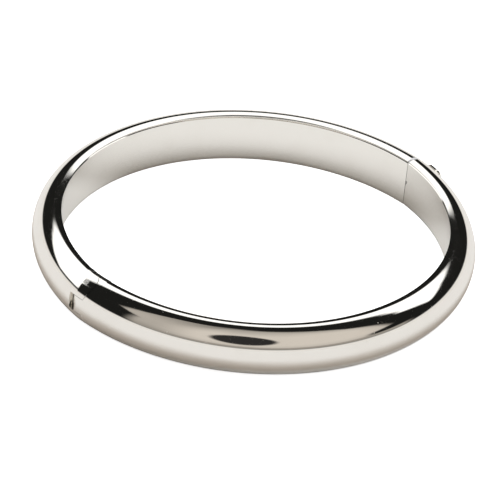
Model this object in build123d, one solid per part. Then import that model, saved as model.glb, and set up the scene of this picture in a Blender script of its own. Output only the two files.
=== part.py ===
from build123d import *
import os
from math import acos, asin, atan2, cos, degrees, hypot, sin, sqrt

# Hinged oval bangle, hollow D section, polished silver.  Millimetres.
# The wrist opening is upright along Z.  The long axis of the oval is X: the hinge is at -X and
# the clasp at +X.  The back half lies at +Y and carries the tongue; the front half lies at -Y
# and swings open.  Z = 0 is the lower rim that the bangle stands on.

# ---- the oval band
INNER_LENGTH = 60.0          # wrist opening, from hinge seam to clasp seam
HALF_RISE = 28.5             # how far each half's inner wall bows out from the seam line
BAND_WIDTH = 8.0             # rim to rim
BAND_DEPTH = 4.1             # inner wall to the crest of the dome
RIM_FLAT = 0.8               # straight part of the rim before the dome starts to curve
RIM_EDGE_RADIUS = 0.22       # softened corner between rim and inner wall
DOME_WALL = 0.6              # pressed sheet of the domed outside
LINER_WALL = 0.7             # strip of the inner wall
END_PLATE = 0.8              # plates that close the hollow ends
SEAM_GAP = 0.08              # between the halves when closed
SEAM_EDGE_RADIUS = 0.2       # softened outer edge of each half at the clasp

# ---- the knuckle hinge
KNUCKLE_RADIUS = 1.65        # rounding of the knuckles about the pin
PIN_SETBACK = 0.5            # from the seam line to the pin, towards the front half
BLOCK_SPARE = 0.6            # solid silver behind the scoops that the outer knuckles sit in
CENTRE_KNUCKLE_WIDTH = 2.6
KNUCKLE_SIDE_GAP = 0.05      # between the centre knuckle and each outer one
KNUCKLE_END_GAP = 0.08       # between the centre knuckle's nose and the back half
PIN_RADIUS = 0.4
PIN_RUNNING_GAP = 0.03       # radial, in the centre knuckle only
TENON_WIDTH = 0.8            # root of each outer knuckle, across the band
TENON_SHOULDER = 0.3         # how far the roots are stepped in from what is round them
TENON_DEPTH = 1.2            # root, from its inner side to its outer side

# ---- the box catch
TONGUE_WIDTH = 3.4
LEAF_THICKNESS = 0.45
TONGUE_HEADROOM = 0.0437     # fold to dome, before the tongue's lean adds to it; sets its length
TONGUE_FLOOR = 0.3           # liner to the underside of the tongue, at the seam
TONGUE_ROOT = 2.4            # length soldered inside the back half
FOLD_RADIUS = 0.42           # nose of the catch leaf
FOLD_GAP = 0.03              # between the nose and the fixed leaf
FOLD_RISE = 0.25             # fold centre above the top of the fixed leaf
HOOK_ENGAGEMENT = 0.2        # how far the catch leaf stands above the mouth's upper edge
HOOK_GAP = 0.14              # between the hook and the mouth plate
MOUTH_HEIGHT = 1.35
MOUTH_GAP = 0.1              # between the tongue and the mouth, at the sides and below
POST_WIDTH = 1.6
POST_LENGTH = 1.0
POST_GAP = 0.12              # each side of the post in its slot
POST_SLOT_RUN = 0.35         # spare slot length behind the post
TAB_WIDTH = 4.6              # thumb tab, across the band
TAB_LENGTH = 3.0             # thumb tab, along the band
TAB_THICKNESS = 0.3
TAB_LIFT = 0.38              # free travel between the tab and the dome
TAB_SETBACK = 0.1            # from the seam to the tab
TAB_CROWN = 5.3              # radius that the tab is bowed to, across the band
TAB_CORNER = 0.8
GUIDE_WALL = 0.5             # side and back walls of the catch box
GUIDE_GAP = 0.12             # between the tongue and each side wall
BOX_SPARE = 0.7              # room beyond the tongue's nose
NICK_WIDTH = 0.6             # small nick in the front liner at the clasp seam
NICK_DEPTH = 0.25

# ---- worked out from the sizes above
HALF_LENGTH = INNER_LENGTH / 2
INNER_RADIUS = (HALF_LENGTH**2 + HALF_RISE**2) / (2 * HALF_RISE)
CENTRE_OFFSET = INNER_RADIUS - HALF_RISE
OUTER_RADIUS = INNER_RADIUS + BAND_DEPTH
HALF_WIDTH = BAND_WIDTH / 2
REACH = 2 * OUTER_RADIUS
TALL = 2 * BAND_WIDTH
PIN_Y = -PIN_SETBACK
NOSE_Y = PIN_Y + KNUCKLE_RADIUS
CAP_Y = NOSE_Y + KNUCKLE_END_GAP
BLOCK_Y = PIN_Y - KNUCKLE_RADIUS - SEAM_GAP - BLOCK_SPARE
PIN_X = KNUCKLE_RADIUS - sqrt(OUTER_RADIUS**2 - (abs(PIN_Y) + CENTRE_OFFSET) ** 2)


def block(x0, x1, y0, y1, z0=-TALL, z1=TALL):
    """A box between two corners."""
    centre = ((x0 + x1) / 2, (y0 + y1) / 2, (z0 + z1) / 2)
    return Pos(*centre) * Box(x1 - x0, y1 - y0, z1 - z0)


def hinge_zone(y0, y1, z0=-TALL, z1=TALL):
    """Everything on the hinge side between two distances from the seam line."""
    return block(-REACH, 0, y0, y1, z0, z1)


def clasp_zone(y0, y1, z0=-TALL, z1=TALL):
    """Everything on the clasp side between two distances from the seam line."""
    return block(0, REACH, y0, y1, z0, z1)


def upright(radius, x, y, height=2 * TALL):
    """A vertical cylinder centred on the band's mid height."""
    return Pos(x, y, 0) * Cylinder(radius, height)


def d_section(foot, crest, half_width):
    """Half an ellipse for the dome, on straight rims; foot and crest are from the inner wall."""
    start = INNER_RADIUS + RIM_FLAT
    dome = EllipticalCenterArc((start, 0), crest - RIM_FLAT, half_width, start_angle=-90, arc_size=180)
    base = Polyline(
        (start, half_width),
        (INNER_RADIUS + foot, half_width),
        (INNER_RADIUS + foot, -half_width),
        (start, -half_width),
    )
    return make_face([dome, *base.edges()])


def back_ring(section):
    """A section carried right round the circle that the back half is an arc of."""
    return Pos(0, -CENTRE_OFFSET, 0) * revolve(Plane.XZ * section, Axis.Z, 360)


def for_front(solid):
    """The same ring, placed for the front half."""
    return mirror(solid, Plane.XZ)


# ---- rings that the pieces of both halves are cut from
outline = d_section(0, BAND_DEPTH, HALF_WIDTH)
outline = fillet(outline.vertices().group_by(Axis.X)[0], RIM_EDGE_RADIUS)
hollow = d_section(-BAND_DEPTH, BAND_DEPTH - DOME_WALL, HALF_WIDTH - DOME_WALL)
liner_width = BAND_WIDTH - 2 * DOME_WALL
liner_strip = Pos(INNER_RADIUS + LINER_WALL / 2, 0) * Rectangle(LINER_WALL, liner_width)

envelope = back_ring(outline)
skin = envelope - back_ring(hollow)
liner = back_ring(liner_strip)
wrist_core = upright(INNER_RADIUS + LINER_WALL, 0, -CENTRE_OFFSET)
cavity = back_ring(hollow) - wrist_core


def back_piece(ring):
    """The back half's share of a ring: from the knuckles round to the clasp seam."""
    return (ring & clasp_zone(0, REACH)) + (ring & hinge_zone(CAP_Y, REACH))


def front_piece(ring):
    """The front half's share of a ring: from the clasp seam round to the hinge block."""
    share = clasp_zone(-REACH, -SEAM_GAP) + hinge_zone(-REACH, BLOCK_Y)
    return for_front(ring) & share


def softened(piece, seam_y):
    """Round the outer edge of a dome where it meets the clasp seam."""
    end = piece.faces().filter_by(Axis.Y).filter_by(lambda f: abs(f.center().Y - seam_y) < 1e-3)
    end = end.filter_by(lambda f: f.center().X > 0)
    return fillet(end.edges().filter_by(on_outside), SEAM_EDGE_RADIUS)


def on_outside(edge):
    """True for an edge of the dome's cut end that runs along a rim or over the crest."""
    beyond_rim_corner = edge.center().X > HALF_LENGTH + RIM_FLAT / 2
    on_rim = abs(edge.center().Z) > HALF_WIDTH - DOME_WALL / 2
    over_crest = edge.bounding_box().size.Z > BAND_WIDTH - DOME_WALL
    return beyond_rim_corner and (on_rim or over_crest)


# ---- hinge
# Two outer knuckles belong to the back half and one centre knuckle to the front half.  The outer
# ones have round noses that sit in scoops of the front half's hinge block, and the centre one has
# its nose against the back half.  Noses and scoops are round about the pin on the outer side.
barrel = upright(KNUCKLE_RADIUS, PIN_X, PIN_Y)
nose_shoulder = block(-REACH, PIN_X, PIN_Y, NOSE_Y) - barrel
oval = (envelope & hinge_zone(0, CAP_Y)) + (for_front(envelope) & hinge_zone(BLOCK_Y, 0))
hinge_pin = upright(PIN_RADIUS, PIN_X, PIN_Y) & oval
centre_half = CENTRE_KNUCKLE_WIDTH / 2
outer_start = centre_half + KNUCKLE_SIDE_GAP
tenon_x = -(HALF_LENGTH + LINER_WALL + TENON_SHOULDER)


def nose(extra):
    """Plan of an outer knuckle, grown by a clearance: its nose and the slope to the inner wall."""
    radius = KNUCKLE_RADIUS + extra
    wall_run = -HALF_LENGTH - PIN_X
    slope = acos(radius / wall_run)
    tangent = (PIN_X + radius * cos(slope), PIN_Y - radius * sin(slope))
    wall = (PIN_X + wall_run, PIN_Y)
    beyond = (wall[0] + wall[0] - tangent[0], wall[1] + wall[1] - tangent[1])
    corners = (tangent, beyond, (beyond[0], CAP_Y), (PIN_X, CAP_Y), (PIN_X, PIN_Y))
    web = extrude(make_face(Polyline(*corners, close=True)), TALL, both=True)
    return web + upright(radius, PIN_X, PIN_Y) + block(-REACH, PIN_X, PIN_Y, CAP_Y)


def tenon(y0, y1, z0, z1):
    """The root of a knuckle, which is soldered into an end plate."""
    return block(tenon_x - TENON_DEPTH, tenon_x, y0, y1, z0, z1)


tenon_start = outer_start + TENON_SHOULDER
upper_tenon = tenon(CAP_Y, CAP_Y + END_PLATE, tenon_start, tenon_start + TENON_WIDTH) & cavity
lower_tenon = mirror(upper_tenon, Plane.XY)
centre_reach = centre_half - TENON_SHOULDER
centre_tenon = tenon(BLOCK_Y - END_PLATE, BLOCK_Y, -centre_reach, centre_reach) & for_front(cavity)

outer_zone = hinge_zone(BLOCK_Y, CAP_Y, outer_start, TALL)
upper_knuckle = (oval & outer_zone & nose(0)) - upright(PIN_RADIUS, PIN_X, PIN_Y) + upper_tenon
lower_knuckle = mirror(upper_knuckle, Plane.XY)
scoop = hinge_zone(BLOCK_Y, CAP_Y, centre_half, TALL) & nose(SEAM_GAP)
hinge_block = (oval & hinge_zone(BLOCK_Y, PIN_Y)) - scoop - mirror(scoop, Plane.XY)
centre_knuckle = (oval & hinge_zone(BLOCK_Y, NOSE_Y, -centre_half, centre_half)) - nose_shoulder
centre_knuckle = centre_knuckle + hinge_block + centre_tenon
centre_knuckle = centre_knuckle - upright(PIN_RADIUS + PIN_RUNNING_GAP, PIN_X, PIN_Y)

back_hinge_plate = (cavity & hinge_zone(CAP_Y, CAP_Y + END_PLATE)) - upper_tenon - lower_tenon
front_hinge_plate = for_front(cavity) & hinge_zone(BLOCK_Y - END_PLATE, BLOCK_Y)
front_hinge_plate = front_hinge_plate - centre_tenon

# ---- clasp tongue, on the back half
# A strip folded back on itself: the lower leaf is fixed, the upper one springs and carries the hook.
# It is as long as the band's curve leaves room for, and leans inwards with its own swing about
# the hinge pin, so that the mouth slides off along it.
arch_share = sqrt(1 - (TONGUE_WIDTH / (BAND_WIDTH - 2 * DOME_WALL)) ** 2)
dome_over_tongue = RIM_FLAT + (BAND_DEPTH - RIM_FLAT - DOME_WALL) * arch_share
tongue_stack = LINER_WALL + TONGUE_FLOOR + LEAF_THICKNESS + FOLD_RISE + FOLD_RADIUS
tongue_fall = dome_over_tongue - tongue_stack - TONGUE_HEADROOM
tongue_length = sqrt(INNER_RADIUS**2 - (HALF_LENGTH - tongue_fall) ** 2) - CENTRE_OFFSET
seam_x = HALF_LENGTH + LINER_WALL + TONGUE_FLOOR
tongue_drop = (tongue_length + PIN_Y) ** 2 / (2 * (seam_x - PIN_X))
lean = degrees(atan2(tongue_drop, tongue_length))
fold_x = seam_x - tongue_drop + LEAF_THICKNESS + FOLD_RISE
fold_y = -tongue_length
plate_back_y = -SEAM_GAP - END_PLATE
hook_y = plate_back_y - HOOK_GAP
mouth_floor_x = seam_x + tongue_drop * plate_back_y / tongue_length - MOUTH_GAP
mouth_top_x = mouth_floor_x + MOUTH_HEIGHT
hook_x = mouth_top_x + HOOK_ENGAGEMENT
half_leaf = LEAF_THICKNESS / 2
leaf_run = hypot(hook_x - fold_x, hook_y - fold_y)
leaf_rise = degrees(atan2(hook_x - fold_x, hook_y - fold_y) - asin(half_leaf / leaf_run))

strip = block(0, LEAF_THICKNESS, -2 * tongue_length, TONGUE_ROOT, -TONGUE_WIDTH / 2, TONGUE_WIDTH / 2)
fixed_leaf = Pos(seam_x, 0, 0) * Rot(0, 0, -lean) * strip
fixed_leaf = fixed_leaf & clasp_zone(fold_y, REACH)
fixed_leaf = fixed_leaf - upright(FOLD_RADIUS + FOLD_GAP, fold_x, fold_y)

spring = block(-half_leaf, half_leaf, 0, 2 * tongue_length, -TONGUE_WIDTH / 2, TONGUE_WIDTH / 2)
spring = Pos(fold_x, fold_y, 0) * Rot(0, 0, -leaf_rise) * spring
catch_leaf = (spring & clasp_zone(-REACH, hook_y)) + upright(FOLD_RADIUS, fold_x, fold_y, TONGUE_WIDTH)
back_clasp_plate = (cavity & clasp_zone(0, END_PLATE)) - fixed_leaf

# ---- thumb tab: a bowed plate outside the dome, on a post that stands on the catch leaf
tab_inner = OUTER_RADIUS + TAB_LIFT
tab_mid = TAB_SETBACK + TAB_LENGTH / 2 + SEAM_GAP
tab_swing = degrees(asin((tab_mid + CENTRE_OFFSET) / tab_inner))
bow_x = TAB_THICKNESS - TAB_CROWN
bow = Pos(bow_x, 0, 0) * Rot(90, 0, 0) * (Cylinder(TAB_CROWN, TAB_LENGTH) - Cylinder(-bow_x, TAB_LENGTH))
tab_outline = RectangleRounded(TAB_LENGTH, TAB_WIDTH, TAB_CORNER)
tab_plate = bow & extrude(Plane.YZ * tab_outline, TAB_CROWN, both=True)
tab_plate = tab_plate & block(bow_x, TAB_CROWN, -TAB_LENGTH, TAB_LENGTH)
tab_plate = Pos(0, CENTRE_OFFSET, 0) * Rot(0, 0, -tab_swing) * Pos(tab_inner, 0, 0) * tab_plate
under_leaf = block(-REACH, half_leaf, -tongue_length, 2 * tongue_length)
under_leaf = Pos(fold_x, fold_y, 0) * Rot(0, 0, -leaf_rise) * under_leaf
post_top = tab_inner + TAB_THICKNESS / 2
post = block(fold_x, post_top, hook_y - POST_LENGTH, hook_y, -POST_WIDTH / 2, POST_WIDTH / 2)
thumb_tab = tab_plate + (post - under_leaf)

# ---- catch box, in the front half
mouth_half = TONGUE_WIDTH / 2 + MOUTH_GAP
slot_half = POST_WIDTH / 2 + POST_GAP
slot_end_y = hook_y - POST_LENGTH - POST_SLOT_RUN
mouth = block(mouth_floor_x, mouth_top_x, plate_back_y, 0, -mouth_half, mouth_half)
post_slot = block(mouth_floor_x, REACH, slot_end_y, 0, -slot_half, slot_half)
nick = block(0, REACH, -SEAM_GAP - NICK_DEPTH, 0, -NICK_WIDTH / 2, NICK_WIDTH / 2)
mouth_plate = front_piece(cavity) & clasp_zone(plate_back_y, 0)
mouth_plate = mouth_plate - mouth - post_slot

box_end_y = fold_y - FOLD_RADIUS - BOX_SPARE
guide_start = TONGUE_WIDTH / 2 + GUIDE_GAP
box_space = front_piece(cavity)
upper_guide = box_space & clasp_zone(box_end_y, plate_back_y, guide_start, guide_start + GUIDE_WALL)
lower_guide = mirror(upper_guide, Plane.XY)
box_back_wall = box_space & clasp_zone(box_end_y - GUIDE_WALL, box_end_y)

# ---- the sheets of each half
back_dome = softened(back_piece(skin), 0)
back_liner = back_piece(liner)
front_dome = softened(front_piece(skin), -SEAM_GAP) - post_slot
front_liner = front_piece(liner) - nick

pieces = {
    "back_dome": back_dome,
    "back_liner": back_liner,
    "back_hinge_end_plate": back_hinge_plate,
    "upper_hinge_knuckle": upper_knuckle,
    "lower_hinge_knuckle": lower_knuckle,
    "hinge_pin": hinge_pin,
    "back_clasp_end_plate": back_clasp_plate,
    "tongue_fixed_leaf": fixed_leaf,
    "tongue_catch_leaf": catch_leaf,
    "thumb_tab": thumb_tab,
    "front_dome": front_dome,
    "front_liner": front_liner,
    "front_hinge_end_plate": front_hinge_plate,
    "centre_hinge_knuckle": centre_knuckle,
    "clasp_mouth_plate": mouth_plate,
    "clasp_box_upper_guide": upper_guide,
    "clasp_box_lower_guide": lower_guide,
    "clasp_box_back_wall": box_back_wall,
}

os.makedirs("parts", exist_ok=True)
for name, piece in pieces.items():
    placed = Pos(0, 0, HALF_WIDTH) * piece
    export_step(placed, f"parts/{name}.step")
    print(name, len(placed.solids()), round(placed.volume, 3))
print("pin axis", round(PIN_X, 4), round(PIN_Y, 4), "fold axis", round(fold_x, 4), round(fold_y, 4))
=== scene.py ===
# %% [markdown]
# # A hinged oval bangle in polished silver
#
# The bangle is two hollow bands of D section.  A three-knuckle hinge joins them on one side and a
# box catch with a folded spring tongue closes them on the other.  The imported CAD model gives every
# piece its size and place, so this lesson starts by loading it.  The two domes and the two inner
# liners, which a mirror polish shows without mercy, are swept again here as finer meshes.  The
# small pieces of the hinge and the catch keep their CAD shape and get their finish here.

# %% Load the model
import math

import bmesh
import bpy
from mathutils import Matrix, Vector


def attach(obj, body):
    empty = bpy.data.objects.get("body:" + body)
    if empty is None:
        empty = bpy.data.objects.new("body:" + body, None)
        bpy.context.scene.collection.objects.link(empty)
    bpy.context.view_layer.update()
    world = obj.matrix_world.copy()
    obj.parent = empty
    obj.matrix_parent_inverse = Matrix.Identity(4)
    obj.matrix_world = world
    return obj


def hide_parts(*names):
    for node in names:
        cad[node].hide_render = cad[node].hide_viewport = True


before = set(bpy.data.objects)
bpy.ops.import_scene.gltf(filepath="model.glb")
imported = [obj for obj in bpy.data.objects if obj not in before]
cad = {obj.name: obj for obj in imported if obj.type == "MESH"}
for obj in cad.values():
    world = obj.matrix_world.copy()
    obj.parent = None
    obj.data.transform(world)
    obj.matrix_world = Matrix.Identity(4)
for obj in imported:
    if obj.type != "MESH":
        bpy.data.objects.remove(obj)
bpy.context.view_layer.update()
MM = 0.001

# %% [markdown]
# ## The viewpoint
#
# A piece this small is looked at from well back with a long lens, so that the oval keeps its
# shape.  The camera is given by where it stands and by the three directions of its own axes, which
# is exact, where aiming it at a target would lose its slight roll.

# %% Camera
LENS_LENGTH, SENSOR_WIDTH = 347.03, 36      # both in mm
CAMERA_PLACE = (-0.413405, -0.446807, 0.386133)
camera_data = bpy.data.cameras.new("camera")
camera_data.sensor_width = SENSOR_WIDTH
camera_data.lens = LENS_LENGTH
camera = bpy.data.objects.new("camera", camera_data)
camera_right = Vector((0.7690094, -0.6328263, 0.0903075))
camera_up = Vector((0.2818055, 0.4624197, 0.8406864))
camera_back = Vector((-0.5737684, -0.6210466, 0.5339390))
turn = Matrix((camera_right, camera_up, camera_back)).transposed().to_4x4()
camera.matrix_world = Matrix.Translation(CAMERA_PLACE) @ turn
bpy.context.scene.collection.objects.link(camera)
bpy.context.scene.camera = camera
bpy.context.scene.view_settings.view_transform = "Standard"
print("camera stands", round(camera.location.length, 3), "m from the bangle")

# %% [markdown]
# ## Wiring nodes as sums
#
# Geometry and shader trees are both chains of small sums.  Dragging them by hand hides the sum, so
# a class wraps a node's output and turns +, -, * and / into Math nodes.  Any other node is put in
# by one method, which makes its settings first and then fills its sockets.

# %% The wire class
class Wire:
    """One output of a node; a sum on it adds the Math node that works the sum out."""

    def __init__(self, bench, socket):
        self.bench = bench
        self.socket = socket

    def sum(self, operation, *others, order=None):
        terms = order or (self, *others)
        settings = {"operation": operation}
        return self.bench.put("ShaderNodeMath", settings, dict(enumerate(terms)))

    def __add__(self, other):
        return self.sum("ADD", other)

    def __sub__(self, other):
        return self.sum("SUBTRACT", other)

    def __mul__(self, other):
        return self.sum("MULTIPLY", other)

    def __truediv__(self, other):
        return self.sum("DIVIDE", other)

    def __rsub__(self, other):
        return self.sum("SUBTRACT", order=(other, self))

    def __rtruediv__(self, other):
        return self.sum("DIVIDE", order=(other, self))

    __radd__ = __add__
    __rmul__ = __mul__


class Bench:
    """A node tree to wire on."""

    def __init__(self, tree):
        self.tree = tree

    def put(self, kind, settings=None, sockets=None, out=0):
        """Adds a node, with its settings made first; returns the chosen output as a wire."""
        node = self.tree.nodes.new(kind)
        for name, value in (settings or {}).items():
            setattr(node, name, value)
        for key, value in (sockets or {}).items():
            if isinstance(value, Wire):
                self.tree.links.new(value.socket, node.inputs[key])
            elif value is not None:
                node.inputs[key].default_value = value
        if not node.outputs:
            return node
        return Wire(self, node.outputs[out])

    def split(self, vector):
        """The three parts of a vector."""
        first = self.put("ShaderNodeSeparateXYZ", None, {0: vector})
        return [Wire(self, output) for output in first.socket.node.outputs]

    def join(self, x, y, z):
        return self.put("ShaderNodeCombineXYZ", None, {0: x, 1: y, 2: z})

    def ease(self, value, low, high):
        """0 below low, 1 above high, and a smooth step between them."""
        settings = {"interpolation_type": "SMOOTHSTEP"}
        return self.put("ShaderNodeMapRange", settings, {0: value, 1: low, 2: high, 3: 0.0, 4: 1.0})

    def blend(self, share, first, second):
        """A colour between two others."""
        return self.put("ShaderNodeMix", {"data_type": "RGBA"}, {0: share, 6: first, 7: second}, out=2)


print("a wire knows the sums + - * /")

# %% [markdown]
# ## Silver, polished
#
# Sterling silver that has been buffed is almost a mirror, a touch warm, and never perfect.  Buffing
# leaves very fine lines that run along the band, wearing adds a few stray hairlines and specks, and
# fingers leave soft patches where the polish is a little duller.  All of it is far finer than the
# mesh, so it belongs in the material: in the roughness, in a very small bump, and hardly at all in
# the colour.  The lines have to follow the oval, so the pattern is laid on the distance round the
# band instead of on X and Y.

# %% Places measured round the band
BEND = 30.0 * MM             # radius that distances round the band are measured at


def along_the_band(bench):
    """Object place as (distance round the band, distance from its middle, height)."""
    place = bench.put("ShaderNodeTexCoord", out=3)
    x, y, z = bench.split(place)
    round_band = x.sum("ARCTAN2", order=(y, x)) * BEND
    outward = bench.put("ShaderNodeVectorMath", {"operation": "LENGTH"}, {0: bench.join(x, y, 0.0)}, out=1)
    return place, bench.join(round_band, outward, z)


def hairlines(bench, place, turn, length, width, share):
    """Short thin lines in one direction: stretched noise, of which only the peaks are kept."""
    settings, sockets = {"vector_type": "TEXTURE"}, {0: place, 2: turn, 3: (length, width, width)}
    stretched = bench.put("ShaderNodeMapping", settings, sockets)
    noise = bench.put("ShaderNodeTexNoise", None, {"Vector": stretched, "Scale": 1.0, "Detail": 2.0})
    return bench.ease(noise, share, share + 0.08)


print("distance round the band:", round(2 * math.pi * BEND / MM, 1), "mm")

# %% The silver recipe
SILVER = (0.885, 0.872, 0.842)
SILVER_WORN = (0.860, 0.842, 0.808)
SCRATCH_DEPTH = 0.0025 * MM


def silver(name, gloss, buffed, strays, specks):
    """Polished silver; gloss is its roughness, and the rest say how strong each mark is, 0 to 1."""
    metal = bpy.data.materials.new(name)
    metal.use_nodes = True
    metal.node_tree.nodes.clear()
    bench = Bench(metal.node_tree)
    place, lay = along_the_band(bench)

    patches = bench.put("ShaderNodeTexNoise", None, {"Vector": place, "Scale": 260.0, "Detail": 3.0})
    dull = bench.ease(patches, 0.48, 0.72)
    lines = hairlines(bench, lay, (0, 0, 0), 6.0 * MM, 0.035 * MM, 0.52)
    stray_one = hairlines(bench, lay, (0, 0.5, 0.2), 3.0 * MM, 0.05 * MM, 0.69)
    stray_two = hairlines(bench, lay, (0, -0.9, -0.3), 2.2 * MM, 0.05 * MM, 0.70)
    stray = stray_one.sum("MAXIMUM", stray_two)
    spots = bench.put("ShaderNodeTexVoronoi", {"feature": "F1"}, {"Vector": place, "Scale": 900.0})
    sieve = bench.put("ShaderNodeTexNoise", None, {"Vector": place, "Scale": 700.0, "Detail": 1.0})
    speck = (1.0 - bench.ease(spots, 0.06, 0.13)) * bench.ease(sieve, 0.60, 0.64)

    rough = lines * (0.035 * buffed) + stray * (0.22 * strays)
    rough = rough + speck * (0.30 * specks) + dull * 0.025 + gloss
    marks = lines * (0.10 * buffed) + stray * (0.9 * strays) + speck * (1.0 * specks)
    height = 1.0 - marks
    bump = {"Strength": 0.35, "Distance": SCRATCH_DEPTH, "Height": height}
    dent = bench.put("ShaderNodeBump", None, bump)
    tint = bench.blend(dull * 0.5 + stray * (0.3 * strays), (*SILVER, 1), (*SILVER_WORN, 1))
    surface = bench.put(
        "ShaderNodeBsdfPrincipled",
        None,
        {"Base Color": tint, "Metallic": 1.0, "Roughness": rough, "Normal": dent, "IOR": 1.45},
    )
    bench.put("ShaderNodeOutputMaterial", None, {"Surface": surface})
    return metal


dome_silver = silver("polished_dome_silver", 0.030, 0.6, 0.9, 1.0)
liner_silver = silver("polished_liner_silver", 0.055, 1.0, 0.5, 0.5)
knuckle_silver = silver("polished_knuckle_silver", 0.040, 0.5, 0.7, 0.8)
tab_silver = silver("polished_tab_silver", 0.045, 0.4, 1.0, 0.8)
print("polished finishes:", [m.name for m in (dome_silver, liner_silver, knuckle_silver, tab_silver)])

# %% [markdown]
# ## Silver, left from the file
#
# The end plates, the guides of the catch box and the spring tongue are hidden when the bangle is
# closed, and nobody buffs them.  They keep the even lines of the last emery stick or the rolling
# mill.  The same hairlines do, packed close and all one way, over a rougher metal.

# %% Filed, drawn and rolled finishes
def filed(name, tone, gloss, turn, length, width, depth):
    """Silver with the close even lines of a file, a drawplate or a rolling mill."""
    metal = bpy.data.materials.new(name)
    metal.use_nodes = True
    metal.node_tree.nodes.clear()
    bench = Bench(metal.node_tree)
    place = bench.put("ShaderNodeTexCoord", out=3)
    fine = hairlines(bench, place, turn, length, width, 0.46)
    coarse = hairlines(bench, place, turn, 2 * length, 3 * width, 0.55)
    patches = bench.put("ShaderNodeTexNoise", None, {"Vector": place, "Scale": 500.0, "Detail": 4.0})
    stain = bench.ease(patches, 0.50, 0.75)
    rough = fine * 0.10 + coarse * 0.08 + stain * 0.10 + gloss
    height = fine * 0.4 + coarse * 0.6
    dent = bench.put("ShaderNodeBump", None, {"Strength": 0.5, "Distance": depth, "Height": height})
    tint = bench.blend(stain * 0.6, (*tone, 1), (tone[0] * 0.84, tone[1] * 0.82, tone[2] * 0.78, 1))
    surface = bench.put(
        "ShaderNodeBsdfPrincipled",
        None,
        {"Base Color": tint, "Metallic": 1.0, "Roughness": rough, "Normal": dent, "IOR": 1.45},
    )
    bench.put("ShaderNodeOutputMaterial", None, {"Surface": surface})
    return metal


UPRIGHT = (0, math.pi / 2, 0)        # which way the lines run
LENGTHWISE = (0, 0, math.pi / 2)
pin_wire = filed("drawn_pin_wire", (0.80, 0.79, 0.77), 0.16, UPRIGHT, 3.0 * MM, 0.04 * MM, 0.000004)
end_plate_silver = filed(
    "filed_end_plate", (0.84, 0.82, 0.78), 0.24, UPRIGHT, 2.0 * MM, 0.06 * MM, 0.000006
)
tongue_silver = filed(
    "rolled_tongue", (0.83, 0.82, 0.80), 0.17, LENGTHWISE, 4.0 * MM, 0.05 * MM, 0.000004
)
print("filed finishes:", [m.name for m in (pin_wire, end_plate_silver, tongue_silver)])

# %% [markdown]
# ## One section for a whole band
#
# A maker draws the D section once and presses the whole length of band to it.  The mesh is made in
# the same order.  A section is an outline of (distance from the inner wall, height) points, closed
# on itself: the dome is a thin arch with two straight feet, and the liner is a flat strip between
# the feet.  Each half of the oval is an arc of one circle whose centre lies a little past the seam,
# so the ends aren't square to the arc.  That is why the sweep works out every row's angle from the
# line that the row has to end on.

# %% Sizes of the band
INNER_RADIUS = 30.0394737 * MM
CENTRE_OFFSET = 1.5394737 * MM   # from the seam line to the centre of a half's arc
BAND_DEPTH = 4.1 * MM
HALF_WIDTH = 4.0 * MM
RIM_FLAT = 0.8 * MM
RIM_EDGE = 0.22 * MM
DOME_WALL = 0.6 * MM
LINER_WALL = 0.7 * MM
SEAM_GAP = 0.08 * MM
BACK_END = 1.23 * MM             # at the hinge, the back half's sheets stop this far past the seam
FRONT_END = 2.83 * MM            # and the front half's stop this far short of it
print("outer radius of each half:", round((INNER_RADIUS + BAND_DEPTH) / MM, 3), "mm")


# %% The outlines of dome and liner
def arch(start, rise, half, steps):
    """Half an ellipse from +half round to -half."""
    turns = [math.pi * k / steps for k in range(steps + 1)]
    return [(start + rise * math.sin(t), half * math.cos(t)) for t in turns]


def corner(x, z, radius, first, steps):
    """A quarter circle, from the angle first and on by a right angle."""
    turns = [first + 0.5 * math.pi * k / steps for k in range(steps + 1)]
    return [(x + radius * math.cos(t), z + radius * math.sin(t)) for t in turns]


def dome_outline():
    outer_rise, inner_rise = BAND_DEPTH - RIM_FLAT, BAND_DEPTH - RIM_FLAT - DOME_WALL
    inner_half = HALF_WIDTH - DOME_WALL
    outer = arch(RIM_FLAT, outer_rise, HALF_WIDTH, 64)
    inner = arch(RIM_FLAT, inner_rise, inner_half, 32)
    low = corner(RIM_EDGE, RIM_EDGE - HALF_WIDTH, RIM_EDGE, 1.5 * math.pi, 7)
    high = corner(RIM_EDGE, HALF_WIDTH - RIM_EDGE, RIM_EDGE, math.pi, 7)
    foot = [(0.0, -inner_half), (0.5 * RIM_FLAT, -inner_half)]
    head = [(0.5 * RIM_FLAT, inner_half), (0.0, inner_half)]
    return [*outer, *[(x, z) for x, z in reversed(low)], *foot, *reversed(inner), *head, *reversed(high)]


def liner_outline():
    half = HALF_WIDTH - DOME_WALL
    heights = [half - 2 * half * k / 16 for k in range(17)]
    return [(0.0, z) for z in reversed(heights)] + [(LINER_WALL, z) for z in heights]


print("points in the outlines:", len(dome_outline()), len(liner_outline()))

# %% [markdown]
# ## Sweeping the sections with Geometry Nodes
#
# The same rule makes four pieces: carry an outline along an arc between two lines.  That is a job
# for one node tree with named inputs.  The outline comes in as the object's own mesh.  A grid gives
# the rows and columns, each column looks up its point of the outline, and each row turns that point
# about the centre of the arc.  The last column lies on the first and is merged with it, so the
# sheet closes on itself; its two ends are filled afterwards.

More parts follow.
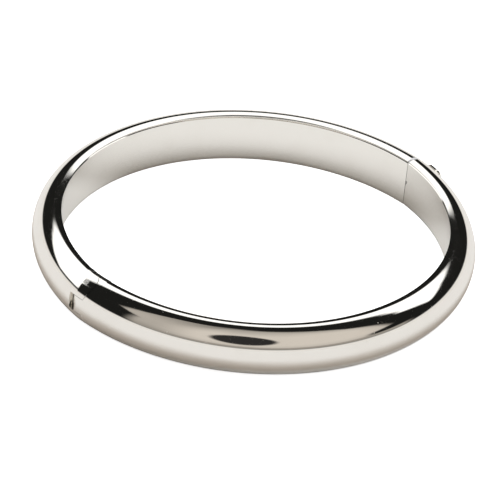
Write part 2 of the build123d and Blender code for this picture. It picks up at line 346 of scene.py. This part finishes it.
# %% The sweep tree
def sweep_tree():
    tree = bpy.data.node_groups.new("band_sweep", "GeometryNodeTree")
    face = tree.interface
    face.new_socket("Outline", in_out="INPUT", socket_type="NodeSocketGeometry")
    for name in ("Inner radius", "Centre offset", "Clasp line", "Hinge line", "Side"):
        face.new_socket(name, in_out="INPUT", socket_type="NodeSocketFloat")
    for name in ("Rows", "Columns"):
        face.new_socket(name, in_out="INPUT", socket_type="NodeSocketInt")
    face.new_socket("Silver", in_out="INPUT", socket_type="NodeSocketMaterial")
    face.new_socket("Band", in_out="OUTPUT", socket_type="NodeSocketGeometry")
    bench = Bench(tree)
    given = tree.nodes.new("NodeGroupInput")
    wire = {output.name: Wire(bench, output) for output in given.outputs if output.name}

    rows, columns = wire["Rows"], wire["Columns"]
    sheet_sockets = {"Size X": 1.0, "Size Y": 1.0, "Vertices X": rows + 1.0, "Vertices Y": columns + 1.0}
    sheet = bench.put("GeometryNodeMeshGrid", None, sheet_sockets)
    across, along, _ = bench.split(bench.put("GeometryNodeInputPosition"))
    share = across + 0.5
    column = ((along + 0.5) * columns + 0.5).sum("FLOOR")
    column = column.sum("MODULO", columns)
    outline_place = bench.put("GeometryNodeInputPosition")
    lookup = {"data_type": "FLOAT_VECTOR", "domain": "POINT"}
    looked_up = {"Geometry": wire["Outline"], "Value": outline_place, "Index": column}
    point = bench.put("GeometryNodeSampleIndex", lookup, looked_up)
    depth, _, height = bench.split(point)

    radius = depth + wire["Inner radius"]
    offset = wire["Centre offset"]
    first = ((offset + wire["Clasp line"]) / radius).sum("ARCSINE")
    last = math.pi - ((offset + wire["Hinge line"]) / radius).sum("ARCSINE")
    angle = first + (last - first) * share
    x = radius * angle.sum("COSINE")
    y = (radius * angle.sum("SINE") - offset) * wire["Side"]
    place = bench.join(x, y, height)
    bent = bench.put("GeometryNodeSetPosition", None, {"Geometry": sheet, "Position": place})
    closed = bench.put("GeometryNodeMergeByDistance", None, {"Geometry": bent, "Distance": 0.001 * MM})
    real = bench.put("GeometryNodeRealizeInstances", None, {0: closed})
    dressed = bench.put("GeometryNodeSetMaterial", None, {"Geometry": real, "Material": wire["Silver"]})
    bench.put("NodeGroupOutput", None, {0: dressed})
    return tree


band_sweep = sweep_tree()
print("sweep tree:", len(band_sweep.nodes), "nodes")

# %% From tree to plain mesh
MID_HEIGHT = 4.0 * MM


def swept(name, outline, rows, clasp_line, hinge_line, side, silver_used):
    """Sweeps an outline round one half and returns the result as a plain mesh object."""
    points = [(depth, 0.0, z + MID_HEIGHT) for depth, z in outline]
    ring = [(k, (k + 1) % len(points)) for k in range(len(points))]
    outline_mesh = bpy.data.meshes.new(name + "_outline")
    outline_mesh.from_pydata(points, ring, [])
    piece = bpy.data.objects.new(name, outline_mesh)
    bpy.context.scene.collection.objects.link(piece)
    sweep = piece.modifiers.new("sweep", "NODES")
    sweep.node_group = band_sweep
    values = {
        "Inner radius": INNER_RADIUS,
        "Centre offset": CENTRE_OFFSET,
        "Clasp line": clasp_line,
        "Hinge line": hinge_line,
        "Side": float(side),
        "Rows": rows,
        "Columns": len(points),
        "Silver": silver_used,
    }
    for item in band_sweep.interface.items_tree:
        if item.in_out == "INPUT" and item.name in values:
            sweep[item.identifier] = values[item.name]
    bake(piece)
    return piece


def bake(piece):
    """Turns an object and its modifiers into a plain mesh."""
    bpy.context.view_layer.update()
    result = piece.evaluated_get(bpy.context.evaluated_depsgraph_get())
    mesh = bpy.data.meshes.new_from_object(result)
    mesh.name = piece.name
    piece.modifiers.clear()
    piece.data = mesh


def finish_mesh(piece, work, smooth_below=28.0):
    """Fills open ends, does work on the bmesh, turns every face outwards and smooths the shading."""
    mesh = bmesh.new()
    mesh.from_mesh(piece.data)
    bmesh.ops.holes_fill(mesh, edges=[e for e in mesh.edges if e.is_boundary], sides=0)
    work(mesh)
    bmesh.ops.recalc_face_normals(mesh, faces=mesh.faces)
    mesh.to_mesh(piece.data)
    open_edges = sum(1 for e in mesh.edges if not e.is_manifold)
    volume = mesh.calc_volume()
    mesh.free()
    piece.data.shade_smooth()
    piece.data.set_sharp_from_angle(angle=math.radians(smooth_below))
    faces, size = len(piece.data.polygons), round(volume / MM**3, 1)
    print(piece.name, faces, "faces,", open_edges, "open edges,", size, "mm3")


# %% [markdown]
# ## The four sheets
#
# The outer edges of a dome are eased where the two halves meet at the clasp, because a sharp end
# of silver sheet would catch skin and cloth.  The easing is a small bevel on the end's outside
# edges.  At the hinge the sheets are cut square and run straight into the knuckles and the hinge
# block, soldered and polished over, so that no joint shows there.

# %% Sweep, close and ease the sheets
ROWS = 300                       # steps along each half
BACK_EDGE = 0.16 * MM
FRONT_EDGE = 0.30 * MM


def ease_end(seam_y, size):
    """Bevels the outside edges of the end that lies in the clasp's seam plane."""

    def work(mesh):
        rim = []
        for edge in mesh.edges:
            ends = [v.co for v in edge.verts]
            on_seam = all(abs(c.y - seam_y) < 1e-7 and c.x > 0 for c in ends)
            if not on_seam or len(edge.link_faces) != 2:
                continue
            centre = (ends[0] + ends[1]) / 2
            depth = math.hypot(centre.x, abs(centre.y) + CENTRE_OFFSET) - INNER_RADIUS
            tall = abs(centre.z - MID_HEIGHT)
            if depth > 0.3 * RIM_EDGE and not inside_arch(depth, tall):
                rim.append(edge)
        bevel = {"offset": size, "offset_type": "OFFSET", "segments": 4, "profile": 0.5}
        bmesh.ops.bevel(mesh, geom=rim, affect="EDGES", **bevel)

    return work


def inside_arch(depth, tall):
    """True for a place on the inner face of the dome's sheet."""
    inner_half = HALF_WIDTH - DOME_WALL
    if depth <= RIM_FLAT:
        return tall < inner_half + 0.5 * DOME_WALL
    reach = (depth - RIM_FLAT) / (BAND_DEPTH - RIM_FLAT - 0.5 * DOME_WALL)
    return reach**2 + (tall / (HALF_WIDTH - 0.5 * DOME_WALL)) ** 2 < 1


def nothing(mesh):
    pass


back_dome = swept("back_dome_sheet", dome_outline(), ROWS, 0.0, BACK_END, 1, dome_silver)
finish_mesh(back_dome, ease_end(0.0, BACK_EDGE))
front_dome = swept("front_dome_sheet", dome_outline(), ROWS, SEAM_GAP, FRONT_END, -1, dome_silver)
finish_mesh(front_dome, ease_end(-SEAM_GAP, FRONT_EDGE))
back_liner = swept("back_liner_strip", liner_outline(), ROWS, 0.0, BACK_END, 1, liner_silver)
finish_mesh(back_liner, nothing)
front_liner = swept("front_liner_strip", liner_outline(), ROWS, SEAM_GAP, FRONT_END, -1, liner_silver)
finish_mesh(front_liner, nothing)

# %% [markdown]
# ## The slot and the nick
#
# The post of the thumb tab passes through an open slot in the front dome, and the front liner has a
# small filed nick at the clasp seam.  Both are sawn or filed after the band is bent, so here too
# they are cut from the finished sheet, with an exact Boolean against a plain block.

# %% Saw and file
def cut_away(piece, low, high):
    """Takes the block between two corners out of a piece."""
    block = bmesh.new()
    bmesh.ops.create_cube(block, size=1.0)
    for vertex in block.verts:
        vertex.co = [a + (b - a) * (c + 0.5) for a, b, c in zip(low, high, vertex.co)]
    mesh = bpy.data.meshes.new("block")
    block.to_mesh(mesh)
    block.free()
    saw = bpy.data.objects.new("block", mesh)
    bpy.context.scene.collection.objects.link(saw)
    cut = piece.modifiers.new("cut", "BOOLEAN")
    cut.object, cut.operation, cut.solver = saw, "DIFFERENCE", "EXACT"
    bake(piece)
    bpy.data.objects.remove(saw)


SLOT_END, SLOT_HALF = -2.37 * MM, 0.92 * MM
NICK_END, NICK_HALF = -0.33 * MM, 0.3 * MM
PAST_SEAM = 1 * MM
mid = MID_HEIGHT
cut_away(front_dome, (31 * MM, SLOT_END, mid - SLOT_HALF), (36 * MM, PAST_SEAM, mid + SLOT_HALF))
cut_away(front_liner, (29 * MM, NICK_END, mid - NICK_HALF), (32 * MM, PAST_SEAM, mid + NICK_HALF))
for piece in (front_dome, front_liner):
    finish_mesh(piece, nothing)

# %% Hang the new sheets on their bodies and hide the CAD sheets they replace
for piece, body, node, finish in (
    (back_dome, "back_half", "back_dome", "dome_polish"),
    (back_liner, "back_half", "back_liner", "liner_polish"),
    (front_dome, "front_half", "front_dome", "dome_polish"),
    (front_liner, "front_half", "front_liner", "liner_polish"),
):
    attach(piece, body)
    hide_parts(node)

# %% [markdown]
# ## Dressing the small pieces
#
# The knuckles, pin, plates, tongue and thumb tab keep their CAD shape, which already has every
# step and gap of the working catch.  They only need their finish: the pieces that show are polished
# with the domes, the ones inside are left as they were made.

# %% Finishes for the CAD pieces
finish_of = {
    "upper_hinge_knuckle": knuckle_silver,
    "lower_hinge_knuckle": knuckle_silver,
    "centre_hinge_knuckle": knuckle_silver,
    "thumb_tab": tab_silver,
    "hinge_pin": pin_wire,
    "tongue_fixed_leaf": tongue_silver,
    "tongue_catch_leaf": tongue_silver,
}
for name, node in cad.items():
    metal = finish_of.get(name, end_plate_silver)
    if node.hide_render:
        metal = dome_silver if "dome" in name else liner_silver
    node.data.materials.clear()
    node.data.materials.append(metal)
    print(name, "->", metal.name)

# %% [markdown]
# ## The table
#
# The bangle stands on a plain white table.  Two sheets share the work, a hair below the band: the
# one that the camera sees stays an even white, and the one that the silver mirrors is a matt surface
# with painted shade in its colour: darker and warmer close to the band's foot, where an ambient
# occlusion node darkens it, and inside the band only towards +X +Y.  Matt things are lit from
# overhead here, so this painted shade stands in for the shadow that the band would cast from the
# softbox on that side.

# %% Two tops for one table
def table_top(name, height, surface_of):
    mesh = bpy.data.meshes.new(name)
    reach = 3.0
    square = ((-1, -1), (1, -1), (1, 1), (-1, 1))
    corners = [(reach * x, reach * y, height) for x, y in square]
    mesh.from_pydata(corners, [], [(0, 1, 2, 3)])
    top = bpy.data.objects.new(name, mesh)
    bpy.context.scene.collection.objects.link(top)
    cloth = bpy.data.materials.new(name)
    cloth.use_nodes = True
    cloth.node_tree.nodes.clear()
    bench = Bench(cloth.node_tree)
    bench.put("ShaderNodeOutputMaterial", None, {"Surface": surface_of(bench)})
    mesh.materials.append(cloth)
    return top


def bright_white(bench):
    matt = bench.put("ShaderNodeBsdfDiffuse", None, {"Color": (0.8, 0.8, 0.8, 1)})
    glow = bench.put("ShaderNodeEmission", None, {"Color": (1, 1, 1, 1), "Strength": 0.80})
    return bench.put("ShaderNodeAddShader", None, {0: matt, 1: glow})


def matt_white_painted_shade(bench):
    # Painted shade: the ambient occlusion below darkens the table's colour near the band's foot, and
    # inside the band a mask towards +X +Y paints the band's softbox shadow into the colour.
    open_air = bench.put("ShaderNodeAmbientOcclusion", {"samples": 8}, {"Distance": 12 * MM}, out=1)
    x, y, _ = bench.split(bench.put("ShaderNodeTexCoord", out=3))
    reach = (x * x + y * y).sum("SQRT")
    outside = bench.ease(reach, 31 * MM, 33 * MM)
    wall_shadow_mask = bench.ease((x + y) / (reach + 1 * MM), 0.55, 1.05)
    inner_air = bench.ease(open_air, 0.45, 0.82).sum("MAXIMUM", 1.0 - wall_shadow_mask)
    # The dark warm colours (0.37, 0.34, 0.305) and (0.50, 0.45, 0.40) are painted shade, not the table's
    # own tone.
    inner = bench.blend(inner_air, (0.37, 0.34, 0.305, 1), (0.85, 0.835, 0.81, 1))
    outer = bench.blend(bench.ease(open_air, 0.70, 0.84), (0.50, 0.45, 0.40, 1), (0.82, 0.80, 0.775, 1))
    shaded = bench.blend(outside, inner, outer)
    return bench.put("ShaderNodeBsdfDiffuse", None, {"Color": shaded})


seen_top = table_top("table_seen", -0.00002, bright_white)
mirrored_top = table_top("table_mirrored", -0.00004, matt_white_painted_shade)
seen_top.visible_diffuse = seen_top.visible_glossy = seen_top.visible_shadow = False
seen_top.visible_transmission = False
mirrored_top.visible_camera = False
print("table tops at", seen_top.data.vertices[0].co.z, mirrored_top.data.vertices[0].co.z)

# %% [markdown]
# ## A studio for a mirror
#
# A polished piece shows the room more than it shows itself, so the light is drawn as the room that
# it mirrors.  There is a long white softbox behind and above the bangle, a large card of warm white
# on the camera's side with a round hole for the lens, and black cloth in the gaps, which gives the
# silver its dark lines.  It could be built from lamps and cards, but the whole room is far away
# compared with the bangle, so a World that answers by direction does the same and has no noise.

# %% The room as a World
world = bpy.data.worlds.new("studio")
bpy.context.scene.world = world
world.use_nodes = True
world.node_tree.nodes.clear()
room = Bench(world.node_tree)
direction = room.put("ShaderNodeTexCoord", out=0)
look_x, look_y, look_z = room.split(direction)
TO_DEGREES = 180 / math.pi
bearing = look_x.sum("ARCTAN2", order=(look_x, look_y)) * TO_DEGREES      # 0 is +Y, 90 is +X
height = look_z.sum("ARCSINE") * TO_DEGREES


def between(value, low, high, soft):
    """1 between two limits, with soft edges."""
    rise = room.ease(value, low - soft, low + soft)
    fall = room.ease(value, high - soft, high + soft)
    return rise * (1.0 - fall)


def line(value, *points):
    """Straight runs between (value, result) points, for an edge that slopes."""
    total = points[0][1]
    for (x0, y0), (x1, y1) in zip(points, points[1:]):
        ramp = {0: value, 1: x0, 2: x1, 3: 0.0, 4: y1 - y0}
        total = room.put("ShaderNodeMapRange", {"clamp": True}, ramp) + total
    return total


# The softbox: its lower edge dips at the far left, its upper edge bows.
BOX_LOW = (
    (-48, 12), (-28, 12), (-20, 17), (-10, 23), (0, 28), (12, 32),
    (30, 34), (70, 36), (88, 35), (100, 31), (110, 27),
)
BOX_HIGH = ((-48, 38), (-30, 44), (-20, 50), (-8, 54), (30, 58), (60, 55), (92, 55), (106, 50), (112, 48))
above_low = room.ease(height - line(bearing, *BOX_LOW), -1.5, 1.5)
below_high = 1.0 - room.ease(height - line(bearing, *BOX_HIGH), -2.0, 2.0)
softbox = above_low * below_high * between(bearing, -44.0, 113.0, 2.0)

# The warm card: everything on the camera's side, over the zenith, less the lens.
turned = bearing.sum("MODULO", order=(bearing + 360.0, 360.0))             # 180 is -Y
CARD_LEFT = ((10, 158), (20, 156), (26, 142), (60, 140), (66, 134), (74, 126), (84, 110))
CARD_RIGHT = ((10, 276), (36, 277), (44, 292), (62, 296), (70, 303), (80, 320), (88, 340))
card_left = room.ease(turned - line(height, *CARD_LEFT), -4.0, 4.0)
card_right = 1.0 - room.ease(turned - line(height, *CARD_RIGHT), -4.0, 4.0)
zenith = room.ease(height, 82.0, 89.0)
card_shape = (card_left * card_right).sum("MAXIMUM", zenith) * room.ease(height, 11.0, 15.0)
middle = between(turned, 146.0, 252.0, 16.0) * 0.35 + 0.65
CARD_LIGHT = ((12, 0.80), (26, 1.02), (46, 1.08), (56, 1.02), (66, 0.90), (75, 0.76), (90, 0.55))
card_light = line(height, *CARD_LIGHT) * middle
across_lens = (bearing + 141.0) / 18.0
up_lens = (height - 40.0) / 18.5
lens = 1.0 - room.ease(across_lens * across_lens + up_lens * up_lens, 0.75, 1.25)
skirt = between(height, 8.5, 14.5, 1.5) * between(turned, 135.0, 275.0, 5.0)

BLACK, WHITE = (0.012, 0.012, 0.011, 1), (1.0, 1.0, 1.0, 1)
CARD, SKIRT, LENS = (0.70, 0.64, 0.57, 1), (0.36, 0.33, 0.29, 1), (0.030, 0.028, 0.027, 1)
SOFTBOX, LOW = (1.30, 1.29, 1.26, 1), (0.88, 0.85, 0.81, 1)
shade = room.blend(card_shape * card_light, BLACK, CARD)
shade = room.blend(skirt, shade, SKIRT)
shade = room.blend(lens, shade, LENS)
shade = room.blend(softbox, shade, SOFTBOX)
shade = room.blend(1.0 - room.ease(height, 5.0, 9.0), shade, LOW)

# Matt things are lit from overhead and by an even glow from the white walls behind the cards.
GLOW, LAMP = (0.55, 0.55, 0.55, 1), (1.93, 1.93, 1.93, 1)
lit = room.blend(room.ease(height, 42.0, 62.0), GLOW, LAMP)
path = world.node_tree.nodes.new("ShaderNodeLightPath")
seen_directly = Wire(room, path.outputs["Is Camera Ray"])
on_matt = Wire(room, path.outputs["Diffuse Depth"]).sum("MINIMUM", 1.0)
shade = room.blend(on_matt, shade, lit)
shade = room.blend(seen_directly, shade, WHITE)
room.put("ShaderNodeOutputWorld", None, {0: room.put("ShaderNodeBackground", None, {0: shade, 1: 1.0})})
print("room drawn with", len(world.node_tree.nodes), "nodes")
